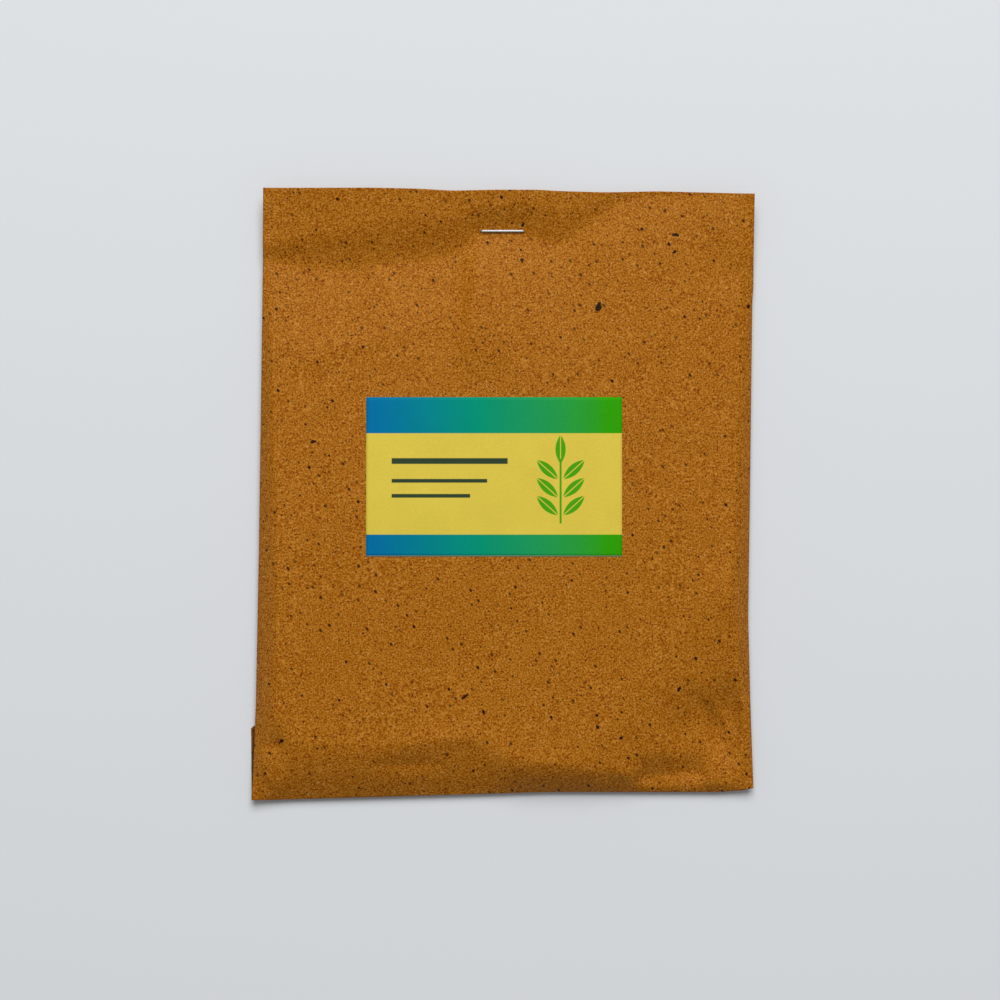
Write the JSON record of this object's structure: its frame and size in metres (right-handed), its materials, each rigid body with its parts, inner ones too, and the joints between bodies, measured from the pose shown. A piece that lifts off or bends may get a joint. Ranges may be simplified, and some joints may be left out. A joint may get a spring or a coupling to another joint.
{
  "type": "stapled kraft paper packet",
  "caption": "Flat kraft paper packet of dried bay leaves, lying on its back: bottom end folded up behind, mouth pressed flat and stapled, a printed paper label on the front.",
  "frame": {"origin": "centre of the packet's outline, on the plane that its back lies on", "axes": "+X to the right seen from the front, +Y up to the stapled mouth, +Z out of the front panel"},
  "size_m": [0.1488, 0.1804, 0.0081],
  "materials": {
    "kraft_paper": "uncoated brown kraft paper with fibres and specks",
    "label_paper": "matte sticker paper printed in yellow, blue and green",
    "staple_wire": "bright zinc-plated steel wire",
    "dried_leaf": null
  },
  "bodies": {
    "root": {"paper_bag": "kraft_paper", "label": "label_paper", "staple": "staple_wire", "bay_leaf_01": "dried_leaf", "bay_leaf_02": "dried_leaf", "bay_leaf_03": "dried_leaf", "bay_leaf_04": "dried_leaf", "bay_leaf_05": "dried_leaf", "bay_leaf_06": "dried_leaf", "bay_leaf_07": "dried_leaf", "bay_leaf_08": "dried_leaf", "bay_leaf_09": "dried_leaf", "bay_leaf_10": "dried_leaf"}
  },
  "joints": []
}
